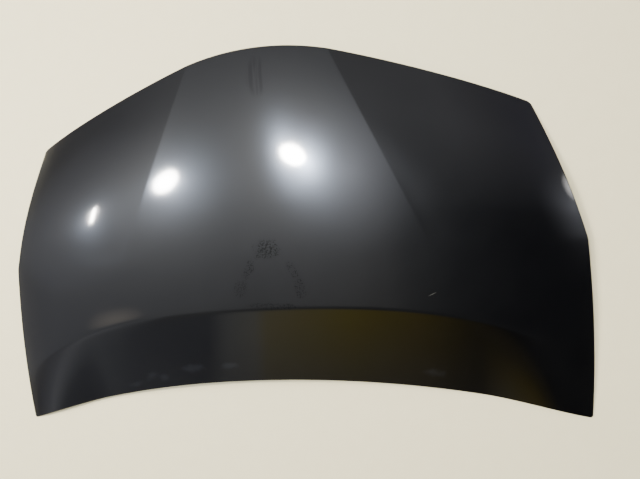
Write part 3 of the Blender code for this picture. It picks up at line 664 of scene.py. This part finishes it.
def skin_height(x, y):
    """Outer surface of the skin at plan points measured from the rear corners."""
    x = np.abs(x)
    size = skin_sizes
    spine = size["Spine Height"] - size["Spine Bend"] * (y - size["Spine Top From Rear"]) ** 2
    crown = (size["Crown Rear"] + size["Crown Growth"] * y) * x ** 2
    side_share = np.minimum(x / side_edge(y), 1.0)
    shoulder = size["Shoulder Drop"] * side_share ** size["Shoulder Power"]
    flank_past = np.maximum(x - flank_crease(y), 0.0)
    band_past = np.maximum(rear_crease(x) - y, 0.0)
    flank = size["Flank Slope"] * flank_crease_depth(y) * flank_past
    band = size["Band Slope"] * rear_crease_depth(x) * band_past
    return spine - crown - shoulder - flank - band


bead_plan = np.array([plan[hem_cell(r, c)] for r, c in border])
bead_plan = bead_plan[[k for k in range(border_count)
                       if np.linalg.norm(bead_plan[k] - bead_plan[k - 1]) > bead_least_step]]
bead_z = skin_height(bead_plan[:, 0], bead_plan[:, 1]) - bead_under_skin
bead_path = bpy.data.meshes.new("sealer path")
bead_count = len(bead_plan)
bead_path.from_pydata([(x, y - middle_from_rear, z) for (x, y), z in zip(bead_plan, bead_z)],
                      [(k, (k + 1) % bead_count) for k in range(bead_count)], [])
hem_bead = grown("hem_sealer_bead", bead_path, bead_tree, bead_inputs, bead_sizes)
hem_bead.data.shade_smooth()
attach(hem_bead, "root")


# Anti-flutter pads: discs of soft mastic between the lands and the skin. They are pressed
# flat when the skin is laid on, and stay matt and finely pitted.

mastic, tree, shader, where = new_finish("anti-flutter mastic")
pits = noise(tree, where, 700.0, 2.0)
pit_bump = add(tree, "ShaderNodeBump", {"Height": pits, "Strength": 0.6, "Distance": 0.0003})
feed(tree, shader, {"Base Color": two_tones(tree, pits, "#1f1d1b", "#33302d"),
                    "Roughness": 0.85, "Normal": pit_bump})
for name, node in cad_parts.items():
    if name.startswith("mastic_pad"):
        coat(node, mastic)


# Zinc plate: bright zinc on steel, passivated, so it is a soft bluish grey with cloudy
# patches, duller where it was handled. Hinge nuts, striker nuts, bolts and striker have it.

zinc, tree, shader, where = new_finish("zinc plate, passivated")
zinc_cloud = noise(tree, where, 140.0, 4.0)
zinc_bump = add(tree, "ShaderNodeBump", {"Height": noise(tree, where, 1500.0, 1.0),
                "Strength": 0.25, "Distance": 0.00005})
feed(tree, shader, {"Base Color": two_tones(tree, zinc_cloud, "#a9a99f", "#c9cac8", 0.3, 0.7),
                    "Roughness": ranged(tree, zinc_cloud, 0.0, 1.0, 0.26, 0.46),
                    "Metallic": 1.0, "Normal": zinc_bump})
for name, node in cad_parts.items():
    if "weld_nut" in name:
        coat(node, zinc)


# Striker: a 3 mm plate with rounded edges, held under the latch pad by two M8 flange bolts,
# and a bent 8 mm wire loop whose feet are welded to it. The latch claw closes on the wire.

striker_corner, striker_corner_steps = 0.008, 8
plate_low, plate_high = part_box("striker_plate")
plate_middle = (plate_low + plate_high) / 2
corner_x = (plate_high.x - plate_low.x) / 2 - striker_corner
corner_y = (plate_high.y - plate_low.y) / 2 - striker_corner
work = bmesh.new()
outline = []
for quarter, (sign_x, sign_y) in enumerate(((1, 1), (-1, 1), (-1, -1), (1, -1))):
    for step in range(striker_corner_steps + 1):
        angle = math.pi / 2 * (quarter + step / striker_corner_steps)
        outline.append(work.verts.new((
            plate_middle.x + sign_x * corner_x + striker_corner * math.cos(angle),
            plate_middle.y + sign_y * corner_y + striker_corner * math.sin(angle),
            plate_low.z)))
bottom = work.faces.new(outline)
raised = bmesh.ops.extrude_face_region(work, geom=[bottom])["geom"]
bmesh.ops.translate(work, vec=(0, 0, plate_high.z - plate_low.z),
                    verts=[part for part in raised if isinstance(part, bmesh.types.BMVert)])
bmesh.ops.recalc_face_normals(work, faces=work.faces)
plate_mesh = bpy.data.meshes.new("latch_striker_plate")
work.to_mesh(plate_mesh)
work.free()
striker_plate = placed("latch_striker_plate", plate_mesh)
stamped_edge = striker_plate.modifiers.new("stamped edge", "BEVEL")
stamped_edge.width = 0.0006
stamped_edge.segments = 3
stamped_edge.limit_method = "ANGLE"
stamped_edge.angle_limit = math.radians(50)
applied(striker_plate, 35)
striker_plate.data.materials.append(zinc)
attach(striker_plate, "root")
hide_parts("striker_plate")

wire_radius = 0.004
loop_bend, loop_bend_steps = 0.009, 10
loop_foot = 0.006
loop_low, loop_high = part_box("striker_loop")
loop_y = (loop_low.y + loop_high.y) / 2
loop_half = (loop_high.y - loop_low.y) / 2 - wire_radius
loop_bottom = loop_low.z + wire_radius
loop_path = [(-loop_half, loop_high.z), (-loop_half, loop_high.z - loop_foot),
             (-loop_half, loop_bottom + loop_bend)]
for k in range(1, loop_bend_steps + 1):
    angle = math.pi / 2 * k / loop_bend_steps
    loop_path.append((-loop_half + loop_bend * (1 - math.cos(angle)),
                      loop_bottom + loop_bend * (1 - math.sin(angle))))
loop_path += [(-across, height) for across, height in reversed(loop_path)]
wire_path = bpy.data.meshes.new("striker wire path")
wire_path.from_pydata([(0.0, loop_y + across, height) for across, height in loop_path],
                      [(k, k + 1) for k in range(len(loop_path) - 1)], [])
wire_sizes = {"Bead Radius": wire_radius, "Unevenness": 0.0, "Wave Scale": 1.0}
wire_loop = grown("latch_striker_loop", wire_path, bead_tree, bead_inputs, wire_sizes)
coat(wire_loop, zinc)
wire_loop.data.shade_smooth()


def turned(rings, sides, x, y):
    """Closed solid from rings of (radius or radius by angle, height), bottom ring first."""
    points = []
    for radius, height in rings:
        for k in range(sides):
            angle = 2 * math.pi * k / sides
            reach = radius(angle) if callable(radius) else radius
            level = height(angle) if callable(height) else height
            points.append((x + reach * math.cos(angle), y + reach * math.sin(angle), level))
    faces = [tuple(reversed(range(sides)))]
    for ring in range(len(rings) - 1):
        start = ring * sides
        for k in range(sides):
            nxt = (k + 1) % sides
            faces.append((start + k, start + nxt, start + sides + nxt, start + sides + k))
    faces.append(tuple(range(len(points) - sides, len(points))))
    return points, faces


def joined(name, solids, finish, sharp_angle):
    """One object from several closed solids that are welded or formed together."""
    points = []
    faces = []
    for solid_points, solid_faces in solids:
        start = len(points)
        points += solid_points
        faces += [tuple(start + k for k in face) for face in solid_faces]
    mesh = bpy.data.meshes.new(name)
    mesh.from_pydata(points, [], faces)
    mesh.shade_smooth()
    mesh.set_sharp_from_angle(angle=math.radians(sharp_angle))
    mesh.materials.append(finish)
    return placed(name, mesh)


# Weld fillets where the wire's feet meet the plate, a little lumpy. Each ring has a radius
# and a depth under the plate.
fillet_radius, fillet_lump = 0.0066, 0.0004
fillet_rings = [(wire_radius * 1.02, 0.0032), (wire_radius + 0.0007, 0.0017),
                (wire_radius + 0.0015, 0.0008)]
feet = []
for sign in (-1, 1):
    def lumpy(angle, sign=sign):
        return fillet_radius + fillet_lump * math.sin(5 * angle + sign)
    rings = [(radius, plate_low.z - depth) for radius, depth in fillet_rings + [(lumpy, 0.0001)]]
    feet.append(turned(rings, 24, 0.0, loop_y + sign * loop_half))
weld_feet = joined("striker_weld_fillets", feet, zinc, 60)
for piece in (wire_loop, weld_feet):
    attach(piece, "root")
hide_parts("striker_loop")

# M8 flange bolts: chamfered 13 mm hexagon on a rounded flange, 1.25 mm thread on the shank.
across_flats = 0.013
chamfer_start, chamfer_slope = 0.0062, 0.577
head_height = 0.0075
flange_radius = 0.0085
thread_crest, thread_root, thread_pitch = 0.0040, 0.0036, 0.00125


def hexagon_reach(angle):
    from_flat = (angle + math.pi / 6) % (math.pi / 3) - math.pi / 6
    return across_flats / 2 / math.cos(from_flat)


for side in ("left", "right"):
    bolt_low, bolt_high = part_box("striker_bolt_" + side)
    bolt_x = (bolt_low.x + bolt_high.x) / 2
    bolt_y = (bolt_low.y + bolt_high.y) / 2
    seat = bolt_low.z + head_height

    def chamfer_level(angle, low=bolt_low.z):
        return low + (hexagon_reach(angle) - chamfer_start) * chamfer_slope

    rings = [(0.0035, bolt_low.z + 0.0006), (0.0045, bolt_low.z), (0.0060, bolt_low.z),
             (hexagon_reach, chamfer_level), (hexagon_reach, seat - 0.0022),
             (flange_radius - 0.0012, seat - 0.0016), (flange_radius - 0.0003, seat - 0.0011),
             (flange_radius, seat - 0.0006), (flange_radius - 0.0002, seat), (thread_crest, seat)]
    turns = int((bolt_high.z - seat - 0.002) / thread_pitch)
    for turn in range(turns):
        start = seat + 0.001 + turn * thread_pitch
        rings += [(thread_crest, start), (thread_root, start + thread_pitch / 2)]
    rings += [(thread_root, bolt_high.z - 0.0006), (0.0030, bolt_high.z)]
    bolt = joined("striker_flange_bolt_" + side, [turned(rings, 36, bolt_x, bolt_y)], zinc, 28)
    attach(bolt, "root")
    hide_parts("striker_bolt_" + side)


# Spot welds: shallow 5 mm electrode marks where the hinge, latch and stay-rod plates are
# welded through the inner panel, seen from beneath.

spot_sizes = {"Mark Radius": 0.0026, "Mark Height": 0.00018}
spot_under_plate = 0.001
spot_tree, spot_inputs, given = new_form("spot welds", spot_sizes)
dome = add(spot_tree, "GeometryNodeMeshUVSphere", {"Segments": 16, "Rings": 8, "Radius": 1.0})
flat = add(spot_tree, "ShaderNodeCombineXYZ",
           {"X": given["Mark Radius"], "Y": given["Mark Radius"], "Z": given["Mark Height"]})
spots = add(spot_tree, "GeometryNodeInstanceOnPoints",
            {"Points": given["Geometry"], "Instance": dome, "Scale": flat})
end_form(spot_tree, spots, inner_coat)
spot_places = []
for node, across_share, along_share in (("hinge_reinforcement_left", 0.72, 0.86),
                                        ("hinge_reinforcement_right", 0.72, 0.86),
                                        ("latch_reinforcement", 0.84, 0.66)):
    low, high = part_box(node)
    middle = (low + high) / 2
    for sign_x in (-1, 1):
        for sign_y in (-1, 1):
            spot_places.append((middle.x + sign_x * across_share * (high.x - low.x) / 2,
                                middle.y + sign_y * along_share * (high.y - low.y) / 2,
                                low.z - spot_under_plate))
spot_points = bpy.data.meshes.new("spot weld places")
spot_points.from_pydata(spot_places, [], [])
spot_welds = grown("spot_weld_marks", spot_points, spot_tree, spot_inputs, spot_sizes)
spot_welds.data.shade_smooth()
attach(spot_welds, "root")


# Room: a plain pale floor, a row of three ceiling lamps that runs off to the left, walls
# that are bright on the left and dark on the right, and a warm board behind the bonnet.

floor_half = 6
floor_mesh = bpy.data.meshes.new("floor")
floor_mesh.from_pydata([(-floor_half, -floor_half, 0), (floor_half, -floor_half, 0),
                        (floor_half, floor_half, 0), (-floor_half, floor_half, 0)],
                       [], [(0, 1, 2, 3)])
floor = placed("floor", floor_mesh)
floor_paint, tree, shader, where = new_finish("pale floor paint")
mottle = noise(tree, where, 30.0, 4.0)
feed(tree, shader, {"Base Color": two_tones(tree, mottle, "#efe1b4", "#f4e7bb"),
                    "Roughness": 0.6})
floor_mesh.materials.append(floor_paint)
floor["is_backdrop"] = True

# Place in plan, size across and along the car, turn in plan, and watts.
lamp_height = 2.4
lamps = [((-0.34, 0.72), (0.27, 0.18), -31, 52.0), ((-1.78, 0.60), (0.34, 0.20), 18, 56.0),
         ((-3.07, 0.50), (0.06, 0.26), 0, 24.0)]
for (x, y), (size_across, size_along), turn, watts in lamps:
    lamp_data = bpy.data.lights.new("ceiling lamp", "AREA")
    lamp_data.shape = "ELLIPSE"
    lamp_data.size = size_across
    lamp_data.size_y = size_along
    lamp_data.energy = watts
    lamp_data.color = (1.0, 0.97, 0.90)
    lamp = placed("ceiling lamp", lamp_data)
    lamp.location = (x, y, lamp_height)
    lamp.rotation_euler = (0, 0, math.radians(turn))

# The light that the bonnet mirrors, by its direction: x to the right, y to the nose, z up.
world = bpy.data.worlds.new("garage")
bpy.context.scene.world = world
world.use_nodes = True
tree = world.node_tree
toward = add(tree, "ShaderNodeTexCoord").outputs["Generated"]
split = add(tree, "ShaderNodeSeparateXYZ", {0: toward}).outputs
sideways = ranged(tree, split["X"], -1.0, 1.0)


def side_to_side(stops):
    """Light of the room from its left, 0, to its right, 1."""
    node = add(tree, "ShaderNodeValToRGB", {"Fac": sideways})
    node.color_ramp.elements[0].color = (*stops[0][1], 1)
    node.color_ramp.elements[1].color = (*stops[-1][1], 1)
    for place, colour in stops[1:-1]:
        node.color_ramp.elements.new(place).color = (*colour, 1)
    return node.outputs[0]


overhead_walls = side_to_side([
    (0.0, (0.28, 0.29, 0.33)), (0.08, (0.46, 0.47, 0.52)), (0.20, (0.47, 0.48, 0.50)),
    (0.32, (0.38, 0.38, 0.38)), (0.50, (0.40, 0.39, 0.365)), (0.545, (0.32, 0.31, 0.29)),
    (0.585, (0.15, 0.15, 0.14)), (0.66, (0.06, 0.06, 0.06)), (0.75, (0.018, 0.018, 0.020)),
    (1.0, (0.008, 0.009, 0.016))])
front_walls = side_to_side([
    (0.0, (0.12, 0.12, 0.14)), (0.12, (0.22, 0.22, 0.25)), (0.20, (0.46, 0.46, 0.48)),
    (0.30, (0.48, 0.48, 0.49)), (0.42, (0.37, 0.37, 0.38)), (0.50, (0.38, 0.38, 0.39)),
    (0.57, (0.45, 0.45, 0.46)), (0.62, (0.55, 0.55, 0.57)), (0.70, (0.62, 0.62, 0.65)),
    (0.78, (0.40, 0.40, 0.44)), (0.86, (0.25, 0.25, 0.33)), (1.0, (0.20, 0.20, 0.28))])
rear_walls = side_to_side([
    (0.0, (0.04, 0.04, 0.05)), (0.06, (0.10, 0.10, 0.12)), (0.14, (0.44, 0.46, 0.51)),
    (0.185, (0.36, 0.38, 0.42)), (0.21, (0.26, 0.27, 0.31)), (0.262, (0.21, 0.22, 0.265)),
    (0.285, (0.18, 0.19, 0.235)), (0.31, (0.56, 0.57, 0.56)), (0.345, (0.74, 0.72, 0.62)),
    (0.357, (0.78, 0.68, 0.34)), (0.47, (0.72, 0.56, 0.05)), (0.56, (0.42, 0.30, 0.012)),
    (0.61, (0.14, 0.10, 0.006)), (0.67, (0.010, 0.009, 0.006)), (1.0, (0.003, 0.004, 0.010))])
ledge = side_to_side([
    (0.0, (0.12, 0.12, 0.14)), (0.055, (0.14, 0.14, 0.16)), (0.09, (0.30, 0.30, 0.34)),
    (0.12, (0.45, 0.46, 0.51)), (0.145, (0.66, 0.67, 0.72)), (0.165, (0.66, 0.67, 0.72)),
    (0.20, (0.50, 0.51, 0.55)), (0.23, (0.24, 0.24, 0.24)), (0.50, (0.10, 0.10, 0.09)),
    (1.0, (0.005, 0.006, 0.010))])
board_dimmed = add(tree, "ShaderNodeVectorMath", {0: overhead_walls, 1: (0.58, 0.58, 0.62)},
                   operation="MULTIPLY")
forwards = ranged(tree, split["Y"], 0.04, 0.42)
to_ledge = ranged(tree, split["Y"], -0.27, -0.32)
rearwards = ranged(tree, split["Y"], -0.44, -0.54)
lowest_rear = ranged(tree, split["Y"], -0.60, -0.75, 0.0, 0.75)
overhead = ranged(tree, split["Z"], 0.12, 0.26)
low_wall = ranged(tree, split["Z"], 0.16, 0.06)
lit = between(tree, forwards, overhead_walls, front_walls)
lit = between(tree, to_ledge, lit, ledge)
board = between(tree, lowest_rear, rear_walls, board_dimmed)
lit = between(tree, figure(tree, "MULTIPLY", rearwards, overhead), lit, board)
lit = between(tree, low_wall, lit, (0.32, 0.33, 0.36, 1))

# Glow of the lamps' covers and the ceiling round them, of a window at the right, and of a
# wooden shelf: direction, reach to the sides and along, turn, brightness, fall and tint.
lamp_blue = (0.82, 0.96, 1.20)
haze_blue = (0.93, 0.97, 1.09)
day_white = (1.02, 1.00, 0.97)
wood_tan = (1.15, 0.97, 0.75)
glows = [((-0.194, 0.229, 0.954), (0.373, 0.652), 11, 68.0, 18.6, lamp_blue),
         ((-0.136, 0.200, 0.970), (1.425, 2.137), 36, 150.0, 56.4, lamp_blue),
         ((-0.004, 0.168, 0.986), (0.314, 0.287), -15, 3.3, 2.0, haze_blue),
         ((-0.550, 0.157, 0.820), (0.358, 0.218), 23, 330.0, 25.5, lamp_blue),
         ((-0.526, 0.153, 0.836), (0.919, 0.563), 9, 20.0, 13.7, lamp_blue),
         ((-0.745, 0.093, 0.661), (0.206, 0.331), 4, 8.0, 7.1, lamp_blue),
         ((-0.792, 0.133, 0.596), (0.324, 0.252), 4, 0.5, 0.61, haze_blue),
         ((0.83, 0.12, 0.55), (0.26, 0.24), 0, 1.8, 2.0, haze_blue),
         ((0.86, 0.24, 0.46), (0.07, 0.09), 0, 16.0, 1.0, day_white),
         ((-0.685, -0.205, 0.70), (0.07, 0.035), 0, 1.0, 0.8, wood_tan)]
for direction, (reach_x, reach_y), turn, glow, steepness, tint in glows:
    nearness = near(tree, toward, direction, (reach_x, reach_y, 0.6), turn)
    falloff = figure(tree, "POWER", nearness, steepness)
    tinted = add(tree, "ShaderNodeVectorMath", {0: falloff, 1: [glow * part for part in tint]},
                 operation="MULTIPLY")
    lit = add(tree, "ShaderNodeVectorMath", {0: lit, 1: tinted}, operation="ADD").outputs[0]
feed(tree, tree.nodes["Background"], {"Color": lit})


# Soft studio light for the floor: a window on the far left, that throws the narrow shadow at
# the right, and a wide fill overhead. Neither shows in the gloss of the bonnet.
for name, place, size, watts in (("soft window", (-7.0, 3.0, 6.0), 2.5, 820.0),
                                 ("overhead fill", (-1.2, 0.5, 4.0), 5.0, 80.0)):
    soft_data = bpy.data.lights.new(name, "AREA")
    soft_data.shape = "SQUARE"
    soft_data.size = size
    soft_data.energy = watts
    soft_light = placed(name, soft_data)
    place = Vector(place)
    facing = place.to_track_quat("Z", "Y").to_matrix().to_4x4()
    soft_light.matrix_world = Matrix.Translation(place) @ facing
    soft_light.visible_glossy = False

low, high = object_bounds()
